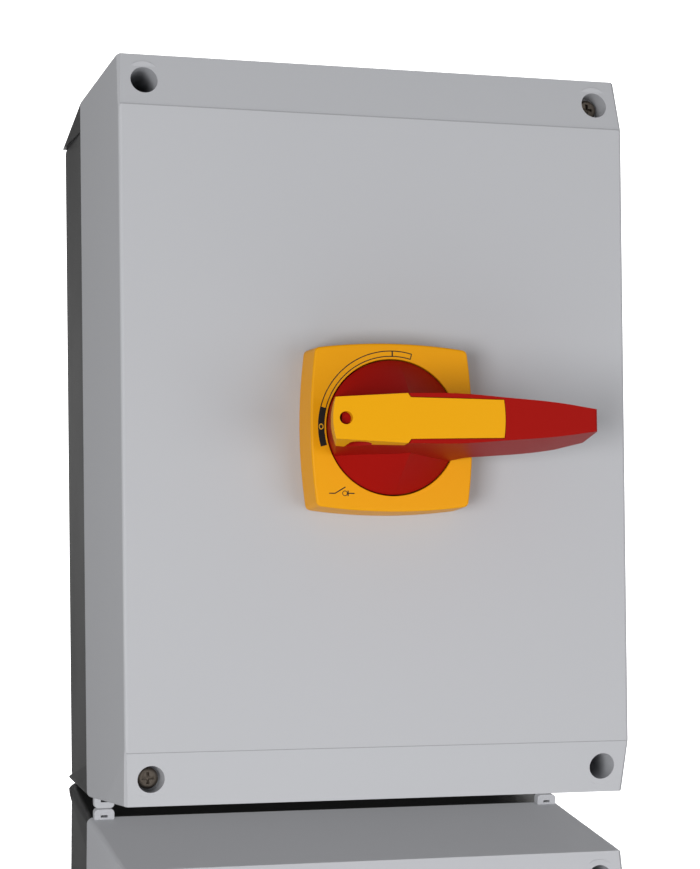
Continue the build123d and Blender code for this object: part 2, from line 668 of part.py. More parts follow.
handle_body.part.label = "handle_body"
export_step(handle_body.part, "parts/handle_body.step")

with BuildPart() as slide_hollow:
    lever_block(SLIDE_SIDE, SLIDE_NOSE)
    side_view(SLIDE_SKIN)

with BuildPart() as slide_tongue:
    with BuildSketch(at(DEPTH + DISC_TOP)):
        add(tongue_outline(0.0).line)
        make_face()
    extrude(amount=LEVER_TOP_H)
    side_view(0.0, SLIDE_SKIN)
    split(bisect_by=Plane.YZ.offset(SLIDE_STEP_X - 6), keep=Keep.TOP)

with BuildPart() as padlock_slide:
    lever_block()
    cap_view()
    add(slide_hollow.part, mode=Mode.SUBTRACT)
    add(slide_tongue.part)
    with BuildSketch(at(DEPTH + SKIRT_NOSE_H)):
        with Locations((EYE_X, 0)):
            Circle(EYE_R)
    extrude(amount=20, mode=Mode.SUBTRACT)
padlock_slide.part.label = "padlock_slide"
export_step(padlock_slide.part, "parts/padlock_slide.step")

with BuildPart() as detent_clip:
    foot_y = -DEPTH - CLIP_FOOT_H
    with BuildSketch(Plane.XY):
        with BuildLine():
            ThreePointArc((CLIP_X - CLIP_HALF, foot_y), (CLIP_X, foot_y - CLIP_RISE),
                          (CLIP_X + CLIP_HALF, foot_y))
            Line((CLIP_X + CLIP_HALF, foot_y), (CLIP_X + CLIP_HALF - CLIP_T, foot_y))
            ThreePointArc((CLIP_X + CLIP_HALF - CLIP_T, foot_y),
                          (CLIP_X, foot_y - CLIP_RISE + CLIP_T),
                          (CLIP_X - CLIP_HALF + CLIP_T, foot_y))
            Line((CLIP_X - CLIP_HALF + CLIP_T, foot_y), (CLIP_X - CLIP_HALF, foot_y))
        make_face()
    extrude(amount=2, both=True)
detent_clip.part.label = "detent_clip"
export_step(detent_clip.part, "parts/detent_clip.step")

with BuildPart() as spindle_seal:
    with BuildSketch(at(DEPTH - 0.8)):
        Circle(SPIGOT_R - 0.02)
        Circle(SPIGOT_R - 1.6, mode=Mode.SUBTRACT)
    extrude(amount=1.8)
spindle_seal.part.label = "spindle_seal"
export_step(spindle_seal.part, "parts/spindle_seal.step")

with BuildPart() as thrust_washer:
    with BuildSketch(at(152.1)):
        Circle(14.5)
        Circle(SPIGOT_R + 0.2, mode=Mode.SUBTRACT)
    extrude(amount=0.8)
thrust_washer.part.label = "thrust_washer"
export_step(thrust_washer.part, "parts/thrust_washer.step")

DRIVER_BACK = 139.0
SHAFT_SIDE = 8.0
SHAFT_FIT = 0.1          # how much wider a square hole is than the shaft
SOCKET_SIDE = 8.5
SOCKET_DEPTH = 11.5
DRIVER_R = 10.5
DRIVER_FLANGE_R = 13.0
DRIVER_FLANGE_T = 2.0
with BuildPart() as shaft_driver:
    with BuildSketch(at(DRIVER_BACK)):
        Circle(DRIVER_R)
    extrude(amount=DRIVER_FRONT - DRIVER_BACK)
    with BuildSketch(at(DRIVER_FRONT - DRIVER_FLANGE_T)):
        Circle(DRIVER_FLANGE_R)
    extrude(amount=DRIVER_FLANGE_T)
    with BuildSketch(at(DRIVER_BACK)):
        Rectangle(SOCKET_SIDE, SOCKET_SIDE)
    extrude(amount=SOCKET_DEPTH, mode=Mode.SUBTRACT)
    mouth = shaft_driver.faces().sort_by(Axis.Y)[-1].inner_wires()[0].edges()
    chamfer(mouth, 1.2)
    with BuildSketch(at(DRIVER_BACK)):
        with Locations((-DRIVER_SCREW_X, 0), (DRIVER_SCREW_X, 0)):
            Circle(1.4)
    extrude(amount=20, mode=Mode.SUBTRACT)
    with BuildSketch(at(DRIVER_BACK)):
        with Locations((-6.9, 0), (6.9, 0)):
            Circle(2.6)
    extrude(amount=8, mode=Mode.SUBTRACT)
shaft_driver.part.label = "shaft_driver"
export_step(shaft_driver.part, "parts/shaft_driver.step")

DRIVER_SCREW_POINTS = [(-DRIVER_SCREW_X, 0), (DRIVER_SCREW_X, 0)]
driver_screws = cross_screws(DRIVER_SCREW_POINTS, DRIVER_BACK + 8, 12, 1.15, 2.1, 1.6, facing=-1)
driver_screws.part.label = "driver_screws"
export_step(driver_screws.part, "parts/driver_screws.step")


# ---- the switch: mounting plate, rear block, three contact chambers, mechanism ------------------------

PLATE_BACK = STANDOFF_TOP
PLATE_STEEL = 2.0
BODY_W = 84.0
BODY_H = 72.0
BLOCK_BACK = PLATE_BACK + PLATE_STEEL
CHAMBER_BACK = 26.0      # first chamber's rear face
CHAMBER_T = 19.0
CHAMBER_SKIN = 2.4
CHAMBER_R = 28.5
POLE_OFFSETS = [-27.0, 0.0, 27.0]
WING_HALF_W = 11.0
WING_END = 59.0
HOUSING_BACK = CHAMBER_BACK + 3 * CHAMBER_T
HOUSING_T = 18.0
LID_T = 2.5
BOLT_POINTS = [(x, z) for x in (-37.0, 37.0) for z in (-31.0, 31.0)]
BOLT_R = 2.0
BOLT_HOLE_R = 2.1
SHAFT_HOLE_R = 6.4
BODY_CORNER_R = 3.0
MOUNTING_PLATE_W = 92.0
MOUNTING_PLATE_H = 118.0
JOURNAL_R = 5.6
JOURNAL_CLEAR = 0.05

with BuildPart() as mounting_plate:
    with BuildSketch(at(PLATE_BACK)):
        RectangleRounded(MOUNTING_PLATE_W, MOUNTING_PLATE_H, 4)
        with Locations(*STANDOFF_POINTS):
            Circle(2.3, mode=Mode.SUBTRACT)
        with Locations(*BOLT_POINTS):
            Circle(BOLT_HOLE_R, mode=Mode.SUBTRACT)
    extrude(amount=PLATE_STEEL)
mounting_plate.part.label = "mounting_plate"
export_step(mounting_plate.part, "parts/mounting_plate.step")

plate_fixings = cross_screws(STANDOFF_POINTS, BLOCK_BACK, 8.5, 2.0, 3.8, 2.6)
plate_fixings.part.label = "mounting_plate_screws"
export_step(plate_fixings.part, "parts/mounting_plate_screws.step")

with BuildPart() as rear_block:
    with BuildSketch(at(BLOCK_BACK)):
        RectangleRounded(BODY_W, BODY_H, BODY_CORNER_R)
        with Locations(*BOLT_POINTS):
            Circle(BOLT_HOLE_R, mode=Mode.SUBTRACT)
    extrude(amount=CHAMBER_BACK - BLOCK_BACK)
    with BuildSketch(at(BLOCK_BACK + 2)):
        Circle(JOURNAL_R + JOURNAL_CLEAR)
    extrude(amount=20, mode=Mode.SUBTRACT)
rear_block.part.label = "rear_block"
export_step(rear_block.part, "parts/rear_block.step")


def contact_rear(back):
    """Depth of the rear face of a pole's contact strip, from its chamber's rear face."""
    return back + 0.5 * (CHAMBER_SKIN + CHAMBER_T) - 3.7


BLADE_T = 3.0
ROTOR_R = 20.0
STRIP_T = 2.0
STRIP_Z = 35.5           # the cross run of the strip
TONGUE_END = 56.0
CLAMP_Z = 49.5
CLAMP_W = 15.0
CLAMP_L = 11.0
STRIP_W = 12.0
FINGER_W = 8.0           # the two fingers that hold the blade
FINGER_START = 21.6
BLADE_L = 53.0
BLADE_RING_R = 13.0
BLADE_BORE_R = 8.6
ROTOR_H = 15.0
SCREW_SHANK_R = 2.2

for number, offset_x in enumerate(POLE_OFFSETS, start=1):
    back = CHAMBER_BACK + (number - 1) * CHAMBER_T
    strip_back = contact_rear(back)
    with BuildPart() as chamber:
        with BuildSketch(at(back)):
            RectangleRounded(BODY_W, BODY_H, BODY_CORNER_R)
            with Locations((offset_x, 0)):
                Rectangle(2 * WING_HALF_W, 2 * WING_END)
        extrude(amount=CHAMBER_T)
        with BuildSketch(at(back + CHAMBER_SKIN)):
            Circle(CHAMBER_R)
        extrude(amount=CHAMBER_T, mode=Mode.SUBTRACT)
        with BuildSketch(at(back)):
            Circle(SHAFT_HOLE_R)
            with Locations(*BOLT_POINTS):
                Circle(BOLT_HOLE_R)
        extrude(amount=CHAMBER_T, mode=Mode.SUBTRACT)
        # channels for the contact strips and pockets for the terminal clamps, at both ends
        for end in (-1, 1):
            with BuildSketch(at(strip_back - 0.1)):
                with Locations((0.5 * offset_x, end * STRIP_Z)):
                    Rectangle(abs(offset_x) + 12.4, 6.4)
                with Locations((0, end * 30)):
                    Rectangle(9, 12)
                with Locations((offset_x, end * 40)):
                    Rectangle(12.4, 10)
            extrude(amount=CHAMBER_T, mode=Mode.SUBTRACT)
            with BuildSketch(at(back + CHAMBER_SKIN)):
                with Locations((offset_x, end * (WING_END - 7.5))):
                    Rectangle(CLAMP_W + 1, 17)
            extrude(amount=CHAMBER_T, mode=Mode.SUBTRACT)
    chamber.part.label = f"contact_chamber_{number}"
    export_step(chamber.part, f"parts/contact_chamber_{number}.step")


def blade_outline(gap):
    """The bridging contact: a bar with a ring that goes round the rotor's hub."""
    Rectangle(BLADE_L + 2 * gap, FINGER_W + 2 * gap)
    Circle(BLADE_RING_R + gap)
    Circle(BLADE_BORE_R - gap, mode=Mode.SUBTRACT)


with BuildPart() as bridge_contacts:
    for number in range(3):
        middle = CHAMBER_BACK + number * CHAMBER_T + 0.5 * (CHAMBER_SKIN + CHAMBER_T)
        with BuildSketch(at(middle - 0.5 * BLADE_T)):
            blade_outline(0.0)
        extrude(amount=BLADE_T)
bridge_contacts.part.label = "bridge_contacts"
export_step(bridge_contacts.part, "parts/bridge_contacts.step")

for number in (1, 2, 3):
    middle = CHAMBER_BACK + (number - 1) * CHAMBER_T + 0.5 * (CHAMBER_SKIN + CHAMBER_T)
    with BuildPart() as rotor:
        with BuildSketch(at(middle - 0.5 * ROTOR_H)):
            Circle(ROTOR_R)
        extrude(amount=ROTOR_H)
        with BuildSketch(at(middle - 0.5 * BLADE_T - 0.05)):
            blade_outline(0.1)
        extrude(amount=BLADE_T + 0.1, mode=Mode.SUBTRACT)
        with BuildSketch(at(middle - 0.5 * ROTOR_H)):
            Rectangle(SHAFT_SIDE + SHAFT_FIT, SHAFT_SIDE + SHAFT_FIT)
        extrude(amount=ROTOR_H, mode=Mode.SUBTRACT)
    rotor.part.label = f"rotor_{number}"
    export_step(rotor.part, f"parts/rotor_{number}.step")

for side_name, end in (("line", 1), ("load", -1)):
    with BuildPart() as contacts:
        for number, offset_x in enumerate(POLE_OFFSETS):
            strip_back = contact_rear(CHAMBER_BACK + number * CHAMBER_T)
            with BuildSketch(at(strip_back)):
                with Locations((0, end * 0.5 * (FINGER_START + STRIP_Z))):
                    Rectangle(FINGER_W, STRIP_Z - FINGER_START)
                with Locations((0.5 * offset_x, end * STRIP_Z)):
                    Rectangle(abs(offset_x) + STRIP_W, 6)
                with Locations((offset_x, end * 0.5 * (STRIP_Z + TONGUE_END))):
                    Rectangle(STRIP_W, TONGUE_END - STRIP_Z)
            extrude(amount=STRIP_T)
            with BuildSketch(at(strip_back + STRIP_T + BLADE_T + 0.4)):
                with Locations((0, end * (FINGER_START + 7.2))):
                    Rectangle(FINGER_W, 14.4)
            extrude(amount=STRIP_T)
            with BuildSketch(at(strip_back)):
                with Locations((0, end * 34.5)):
                    Rectangle(FINGER_W, 5)
            extrude(amount=2 * STRIP_T + BLADE_T + 0.4)
    contacts.part.label = f"{side_name}_contacts"
    export_step(contacts.part, f"parts/{side_name}_contacts.step")

    with BuildPart() as clamps:
        for number, offset_x in enumerate(POLE_OFFSETS):
            strip_back = contact_rear(CHAMBER_BACK + number * CHAMBER_T)
            with BuildSketch(at(strip_back - 3.5)):
                with Locations((offset_x, end * CLAMP_Z)):
                    Rectangle(CLAMP_W, CLAMP_L)
            extrude(amount=13)
            with BuildSketch(at(strip_back - 2)):
                with Locations((offset_x, end * CLAMP_Z)):
                    Rectangle(12.2, CLAMP_L)
            extrude(amount=8.5, mode=Mode.SUBTRACT)
            with BuildSketch(at(strip_back + 6)):
                with Locations((offset_x, end * CLAMP_Z)):
                    Circle(SCREW_SHANK_R + 0.1)
            extrude(amount=6, mode=Mode.SUBTRACT)
    clamps.part.label = f"{side_name}_clamps"
    export_step(clamps.part, f"parts/{side_name}_clamps.step")

    with BuildPart() as terminal_screws:
        for number, offset_x in enumerate(POLE_OFFSETS):
            head_seat = contact_rear(CHAMBER_BACK + number * CHAMBER_T) + 11.2
            spot = (offset_x, end * CLAMP_Z)
            add(cross_screws([spot], head_seat, 8.8, SCREW_SHANK_R, 3.6, 2.8).part)
    terminal_screws.part.label = f"{side_name}_terminal_screws"
    export_step(terminal_screws.part, f"parts/{side_name}_terminal_screws.step")

with BuildPart() as mechanism_housing:
    with BuildSketch(at(HOUSING_BACK)):
        RectangleRounded(BODY_W, BODY_H, BODY_CORNER_R)
    extrude(amount=HOUSING_T)
    with BuildSketch(at(HOUSING_BACK + CHAMBER_SKIN)):
        Circle(21)
        Rectangle(72, 10.4)
    extrude(amount=HOUSING_T, mode=Mode.SUBTRACT)
    with BuildSketch(at(HOUSING_BACK)):
        Circle(SHAFT_HOLE_R)
        with Locations(*BOLT_POINTS):
            Circle(BOLT_HOLE_R)
    extrude(amount=HOUSING_T, mode=Mode.SUBTRACT)
mechanism_housing.part.label = "mechanism_housing"
export_step(mechanism_housing.part, "parts/mechanism_housing.step")

CAM_MIDDLE = HOUSING_BACK + 10.5
CAM_R = 15.0
CAM_T = 10.0
CAM_NOTCH_AT = 17.0      # the four detent notches' centres
CAM_NOTCH_R = 5.2
PLUNGER_TIP_X = 15.4
PLUNGER_NECK_X = 18.0
PLUNGER_END_X = 25.0
PLUNGER_HALF = 3.6
with BuildPart() as index_cam:
    with BuildSketch(at(CAM_MIDDLE - 0.5 * CAM_T)):
        Circle(CAM_R)
        with PolarLocations(CAM_NOTCH_AT, 4):
            Circle(CAM_NOTCH_R, mode=Mode.SUBTRACT)
        Rectangle(SHAFT_SIDE + SHAFT_FIT, SHAFT_SIDE + SHAFT_FIT, mode=Mode.SUBTRACT)
    extrude(amount=CAM_T)
index_cam.part.label = "index_cam"
export_step(index_cam.part, "parts/index_cam.step")

with BuildPart() as detent_plungers:
    for side in (-1, 1):
        with BuildSketch(Plane.XY.offset(-4)):
            with BuildLine():
                Polyline((side * PLUNGER_TIP_X, -CAM_MIDDLE),
                         (side * PLUNGER_NECK_X, -CAM_MIDDLE - PLUNGER_HALF),
                         (side * PLUNGER_END_X, -CAM_MIDDLE - PLUNGER_HALF),
                         (side * PLUNGER_END_X, -CAM_MIDDLE + PLUNGER_HALF),
                         (side * PLUNGER_NECK_X, -CAM_MIDDLE + PLUNGER_HALF), close=True)
            make_face()
        extrude(amount=8)
detent_plungers.part.label = "detent_plungers"
export_step(detent_plungers.part, "parts/detent_plungers.step")

SPRING_R = 3.0
SPRING_WIRE_R = 0.45
with BuildPart() as detent_springs:
    for side in (-1, 1):
        with BuildLine() as coil:
            Helix(pitch=1.7, height=8.5, radius=SPRING_R,
                  center=(side * (PLUNGER_END_X + 1), -CAM_MIDDLE, 0), direction=(side, 0, 0))
        with BuildSketch(Plane(origin=coil.line @ 0, z_dir=coil.line % 0)):
            Circle(SPRING_WIRE_R)
        sweep(path=coil.line)
detent_springs.part.label = "detent_springs"
export_step(detent_springs.part, "parts/detent_springs.step")

with BuildPart() as switch_lid:
    with BuildSketch(at(HOUSING_BACK + HOUSING_T)):
        RectangleRounded(BODY_W, BODY_H, BODY_CORNER_R)
        Circle(SHAFT_HOLE_R, mode=Mode.SUBTRACT)
        with Locations(*BOLT_POINTS):
            Circle(BOLT_HOLE_R, mode=Mode.SUBTRACT)
    extrude(amount=LID_T)
switch_lid.part.label = "switch_lid"
export_step(switch_lid.part, "parts/switch_lid.step")

LID_FRONT = HOUSING_BACK + HOUSING_T + LID_T
through_bolts = cross_screws(BOLT_POINTS, LID_FRONT, LID_FRONT - PLATE_BACK, BOLT_R, 3.6, 2.4)
through_bolts.part.label = "through_bolts"
export_step(through_bolts.part, "parts/through_bolts.step")


# ---- turning parts in the base: shafts and coupling ---------------------------------------------------

STUB_FRONT = LID_FRONT + 12
SHAFT_FRONT = 149.0
with BuildPart() as stub_shaft:
    with BuildSketch(at(BLOCK_BACK + 3)):
        Circle(JOURNAL_R)
    extrude(amount=CHAMBER_BACK - BLOCK_BACK - 3)
    with BuildSketch(at(CHAMBER_BACK - 2)):
        Rectangle(SHAFT_SIDE, SHAFT_SIDE)
    extrude(amount=STUB_FRONT - CHAMBER_BACK + 2)
stub_shaft.part.label = "stub_shaft"
export_step(stub_shaft.part, "parts/stub_shaft.step")

with BuildPart() as extension_shaft:
    with BuildSketch(at(STUB_FRONT + 0.5)):
        Rectangle(SHAFT_SIDE, SHAFT_SIDE)
    extrude(amount=SHAFT_FRONT - STUB_FRONT - 0.5)
    chamfer(extension_shaft.faces().sort_by(Axis.Y)[0].edges(), 1.0)
extension_shaft.part.label = "extension_shaft"
export_step(extension_shaft.part, "parts/extension_shaft.step")

COUPLING_BACK = LID_FRONT + 2
COUPLING_L = 21.0
COUPLING_R = 9.5
GRUB_SPOTS = [(0, -COUPLING_BACK - 5), (0, -COUPLING_BACK - 16)]
with BuildPart() as shaft_coupling:
    with BuildSketch(at(COUPLING_BACK)):
        Circle(COUPLING_R)
        Rectangle(SHAFT_SIDE + SHAFT_FIT, SHAFT_SIDE + SHAFT_FIT, mode=Mode.SUBTRACT)
    extrude(amount=COUPLING_L)
    with BuildSketch(Plane.XY):
        with Locations(*GRUB_SPOTS):
            Circle(1.6)
    extrude(amount=12, mode=Mode.SUBTRACT)
shaft_coupling.part.label = "shaft_coupling"
export_step(shaft_coupling.part, "parts/shaft_coupling.step")

with BuildPart() as coupling_screws:
    with BuildSketch(Plane.XY.offset(0.5 * SHAFT_SIDE + 0.1)):
        with Locations(*GRUB_SPOTS):
            Circle(1.5)
    extrude(amount=5)
    with BuildSketch(Plane.XY.offset(0.5 * SHAFT_SIDE + 5.1)):
        with Locations(*GRUB_SPOTS):
            RegularPolygon(0.85, 6)
    extrude(amount=-2, mode=Mode.SUBTRACT)
coupling_screws.part.label = "coupling_screws"
export_step(coupling_screws.part, "parts/coupling_screws.step")


# ---- neutral and earth terminals ------------------------------------------------------------------------

TERMINAL_SCREW_SPOTS = (-9.0, 9.0)
BLOCK_T = 7.0
BAR_T = 10.0
BLOCK_HOLE_R = 1.9
for name, centre_x in (("neutral", -BLOCK_X), ("earth", BLOCK_X)):
    spots = [(centre_x + dx, BLOCK_Z) for dx in TERMINAL_SCREW_SPOTS]
    with BuildPart() as block:
        with BuildSketch(at(BLOCK_PAD_TOP)):
            with Locations((centre_x, BLOCK_Z)):
                RectangleRounded(36, 16, 1.5)
        extrude(amount=BLOCK_T)
        with BuildSketch(at(BLOCK_PAD_TOP)):
            with Locations((centre_x, BLOCK_Z)):
                Circle(BLOCK_HOLE_R)
        extrude(amount=BLOCK_T, mode=Mode.SUBTRACT)
    block.part.label = f"{name}_block"
    export_step(block.part, f"parts/{name}_block.step")

    with BuildPart() as bar:
        with BuildSketch(at(BLOCK_PAD_TOP + BLOCK_T)):
            with Locations((centre_x, BLOCK_Z)):
                Rectangle(32, 10)
        extrude(amount=BAR_T)
        with BuildSketch(Plane.XY.offset(BLOCK_Z - 5)):
            with Locations(*[(x, -BLOCK_PAD_TOP - 12) for x, z in spots]):
                Circle(2.8)
        extrude(amount=10, mode=Mode.SUBTRACT)
        with BuildSketch(at(BLOCK_PAD_TOP + 14)):
            with Locations(*spots):
                Circle(2.1)
        extrude(amount=5, mode=Mode.SUBTRACT)
        with BuildSketch(at(BLOCK_PAD_TOP + BLOCK_T)):
            with Locations((centre_x, BLOCK_Z)):
                Circle(BLOCK_HOLE_R)
        extrude(amount=12, mode=Mode.SUBTRACT)
    bar.part.label = f"{name}_bar"
    export_step(bar.part, f"parts/{name}_bar.step")

    screws = cross_screws(spots, BLOCK_PAD_TOP + 18.5, 6.2, 2.0, 3.4, 2.2)
    screws.part.label = f"{name}_screws"
    export_step(screws.part, f"parts/{name}_screws.step")

block_fixings = cross_screws([(-BLOCK_X, BLOCK_Z), (BLOCK_X, BLOCK_Z)], BLOCK_PAD_TOP + 17,
                             22.0, 1.6, 2.9, 2.0)
block_fixings.part.label = "terminal_block_screws"
export_step(block_fixings.part, "parts/terminal_block_screws.step")
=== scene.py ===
# %% [markdown]
# # A rotary isolator switch, finished in Blender
#
# The object is a wall-mounted safety switch: a deep grey cover on a black base, a square yellow
# plate, and a red lever handle with a yellow padlock slide let into it. Its shape, size and moving
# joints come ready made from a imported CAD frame. This file gives it what the CAD model lacks:
# softened edges, printed marks, moulded textures, light and a camera. It is read from top to
# bottom, one short cell at a time.

import json
from math import atan2, cos, degrees, pi, radians, sin

import bmesh
import bpy
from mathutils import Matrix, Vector

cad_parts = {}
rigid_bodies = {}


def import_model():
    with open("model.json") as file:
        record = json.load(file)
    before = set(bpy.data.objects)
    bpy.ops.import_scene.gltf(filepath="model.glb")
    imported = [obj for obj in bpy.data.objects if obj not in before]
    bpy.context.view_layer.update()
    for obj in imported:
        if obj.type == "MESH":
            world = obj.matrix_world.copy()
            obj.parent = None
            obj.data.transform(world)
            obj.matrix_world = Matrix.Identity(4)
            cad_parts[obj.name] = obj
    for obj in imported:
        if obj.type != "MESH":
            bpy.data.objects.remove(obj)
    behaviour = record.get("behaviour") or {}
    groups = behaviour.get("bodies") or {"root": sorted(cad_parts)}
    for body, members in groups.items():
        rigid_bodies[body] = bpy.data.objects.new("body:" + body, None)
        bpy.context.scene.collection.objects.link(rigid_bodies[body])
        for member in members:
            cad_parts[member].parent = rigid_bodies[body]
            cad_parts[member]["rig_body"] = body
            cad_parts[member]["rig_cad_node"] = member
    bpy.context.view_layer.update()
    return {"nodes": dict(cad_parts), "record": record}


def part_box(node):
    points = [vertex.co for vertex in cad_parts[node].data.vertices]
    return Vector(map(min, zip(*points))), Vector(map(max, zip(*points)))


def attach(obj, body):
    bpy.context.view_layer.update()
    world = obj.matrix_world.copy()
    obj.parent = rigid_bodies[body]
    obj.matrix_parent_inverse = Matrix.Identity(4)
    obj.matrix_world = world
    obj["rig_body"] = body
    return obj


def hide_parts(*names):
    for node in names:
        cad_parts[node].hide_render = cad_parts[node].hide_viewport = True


MM = 0.001
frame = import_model()
scene = bpy.context.scene

# %% [markdown]
# ## Camera
#
# A long lens a metre or so away keeps the box's sides nearly parallel, as in a catalogue picture.
# The camera stands left of the switch and a little below its middle, and its picture is slid
# upwards with the lens shift, which keeps the verticals upright where a tilt would lean them.

# %% Camera
LENS = 85.8
LENS_SHIFT = 0.1966
CAMERA_PLACE = (-0.2101, -0.9033, -0.0722)
CAMERA_TURN = (90.552, 0.635, -14.856)
camera_data = bpy.data.cameras.new("catalogue_camera")
camera_data.lens = LENS
camera_data.shift_y = LENS_SHIFT
camera = bpy.data.objects.new("catalogue_camera", camera_data)
camera.location = CAMERA_PLACE
camera.rotation_euler = [radians(turn) for turn in CAMERA_TURN]
scene.collection.objects.link(camera)
scene.camera = camera
print("camera", [round(c, 3) for c in camera.location])

# %% [markdown]
# ## Light and floor
#
# The switch stands on polished acrylic in front of a lit white sheet, so the surroundings are plain
# white and the floor mirrors the front of the box. A soft box at the left does most of the work:
# it lights the front squarely, grazes the left side, and throws the handle's soft shadow to the
# right. A fill at the right and a low one from the floor keep that shadow open. The box stands on
# two small tabs at its cover and on the heel of its base, so the floor is tilted to meet both. It
# neither casts shadows nor lights the box, because it is only there to mirror it.

# %% Floor
HEEL_RISE = 0.8 * MM    # the heel's rounded edge meets the floor this far above its lowest line
FLOOR_SIZE = 6.0
tab_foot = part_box("cover_shell")[0].z
base_low, base_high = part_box("base_shell")
floor_slope = atan2(base_low.z + HEEL_RISE - tab_foot, base_high.y - base_low.y)
bpy.ops.mesh.primitive_plane_add(size=FLOOR_SIZE)
floor = bpy.context.object
floor.name = "floor"
floor.rotation_euler = (floor_slope, 0, 0)
floor.location = (0, base_low.y, tab_foot)
floor.visible_shadow = False
floor.visible_diffuse = False
print("floor tilt in degrees", round(degrees(floor_slope), 2))

# %% World
BACKDROP = 1.9      # the lit sheet behind the switch, as seen directly and in the polished floor
ROOM = 0.32         # everything else that gloss can reflect
BOUNCE = 0.26       # what the room as a whole gives to matt surfaces
SHEET_WAY = (0.33, 0.944, 0.0)      # where the sheet's middle lies
SHEET_RIM = (0.88, 0.945)           # cosines between which the sheet's edge fades in
scene.view_settings.view_transform = "Standard"
world = bpy.data.worlds.new("white_tent")
scene.world = world
world.use_nodes = True
tree = world.node_tree
links = tree.links
tent = tree.nodes["Background"]
tent.inputs["Color"].default_value = (1, 1, 1, 1)
path = tree.nodes.new("ShaderNodeLightPath")
ways = tree.nodes.new("ShaderNodeTexCoord")
towards = tree.nodes.new("ShaderNodeVectorMath")
towards.operation = "DOT_PRODUCT"
towards.inputs[1].default_value = SHEET_WAY
links.new(ways.outputs["Generated"], towards.inputs[0])
sheet = tree.nodes.new("ShaderNodeMapRange")
sheet.inputs["From Min"].default_value, sheet.inputs["From Max"].default_value = SHEET_RIM
sheet.inputs["To Min"].default_value = ROOM
sheet.inputs["To Max"].default_value = BACKDROP
links.new(towards.outputs["Value"], sheet.inputs["Value"])
by_ray = sheet.outputs["Result"]
for ray, strength in (("Is Camera Ray", BACKDROP), ("Is Diffuse Ray", BOUNCE)):
    switch = tree.nodes.new("ShaderNodeMix")
    links.new(path.outputs[ray], switch.inputs["Factor"])
    links.new(by_ray, switch.inputs["A"])
    switch.inputs["B"].default_value = strength
    by_ray = switch.outputs["Result"]
links.new(by_ray, tent.inputs["Strength"])
print("world", world.name)

# %% Soft boxes


def soft_box(name, place, aim, size, power):
    """A rectangular studio light of this many watts at a place, facing a point."""
    light = bpy.data.lights.new(name, "AREA")
    light.shape = "RECTANGLE"
    light.size, light.size_y = size
    light.energy = power
    lamp = bpy.data.objects.new(name, light)
    scene.collection.objects.link(lamp)
    lamp.location = place
    lamp.rotation_euler = (Vector(aim) - Vector(place)).to_track_quat("-Z", "Y").to_euler()


soft_box("key_box", (-1.05, -1.55, -0.30), (0, -0.12, 0), (0.75, 0.75), 19.5)
soft_box("front_fill", (0.70, -1.25, -0.25), (0, -0.1, 0), (0.9, 0.7), 5.2)
soft_box("floor_bounce", (0.05, -0.80, -0.80), (0, -0.12, -0.14), (1.2, 0.6), 1.6)

# %% [markdown]
# ## Shader maths in Python
#
# A material is a graph of nodes, and most of its nodes only do arithmetic. The class below wraps
# one socket, so the arithmetic can be written as an expression: `1 - mask * 0.3` adds its own Math
# nodes. Every other node comes from one method, `node`, which takes the node's type, its settings
# and what goes into its sockets.

# %% A socket that can be calculated with


class Signal:
    """One socket of a material's node tree."""

    def __init__(self, tree, socket):
        self.tree = tree
        self.socket = socket

    def node(self, kind, settings=None, inputs=None, output=0):
        """Adds a node. Its settings are set first, then its sockets get values or links."""
        made = self.tree.nodes.new(kind)
        for key, value in (settings or {}).items():
            setattr(made, key, value)
        for key, value in (inputs or {}).items():
            if isinstance(value, Signal):
                self.tree.links.new(value.socket, made.inputs[key])
            else:
                made.inputs[key].default_value = value
        return Signal(self.tree, made.outputs[output])

    def maths(self, operation, first, second):
        """Adds a Math node for an operation on two signals or numbers."""
        return self.node("ShaderNodeMath", {"operation": operation}, {0: first, 1: second})

    def __add__(self, other):
        return self.maths("ADD", self, other)

    def __radd__(self, other):
        return self.maths("ADD", other, self)

    def __sub__(self, other):
        return self.maths("SUBTRACT", self, other)

    def __rsub__(self, other):
        return self.maths("SUBTRACT", other, self)

    def __mul__(self, other):
        return self.maths("MULTIPLY", self, other)

    def __rmul__(self, other):
        return self.maths("MULTIPLY", other, self)

    def blend(self, dark, light):
        """A colour between dark and light, with this signal as the share of light."""
        return self.node("ShaderNodeMix", {"data_type": "RGBA"},
                         {"Factor": self, "A": (*dark, 1), "B": (*light, 1)}, "Result")


def start_material(name):
    """A new material, with its shader node and its object coordinates as a signal."""
    material = bpy.data.materials.new(name)
    material.use_nodes = True
    shader = material.node_tree.nodes["Principled BSDF"]
    places = material.node_tree.nodes.new("ShaderNodeTexCoord")
    return material, shader, Signal(material.node_tree, places.outputs["Object"])


def feed(shader, **signals):
    """Links signals to the shader's sockets, named with underscores for spaces."""
    for name, signal in signals.items():
        signal.tree.links.new(signal.socket, shader.inputs[name.replace("_", " ")])


def noise(places, scale, detail=2.0, roughness=0.5):
    """Smooth noise with this many waves to a metre."""
    return places.node("ShaderNodeTexNoise", None, {
        "Vector": places, "Scale": scale, "Detail": detail, "Roughness": roughness})


# %% Polished floor
ACRYLIC_COLOUR = (0.99, 0.99, 1.0, 1)
ACRYLIC_ROUGHNESS = 0.02
acrylic, acrylic_shader, _ = start_material("polished_acrylic")
acrylic_shader.inputs["Base Color"].default_value = ACRYLIC_COLOUR
acrylic_shader.inputs["Metallic"].default_value = 1.0
acrylic_shader.inputs["Roughness"].default_value = ACRYLIC_ROUGHNESS
floor.data.materials.append(acrylic)
print("floor material", acrylic.name)

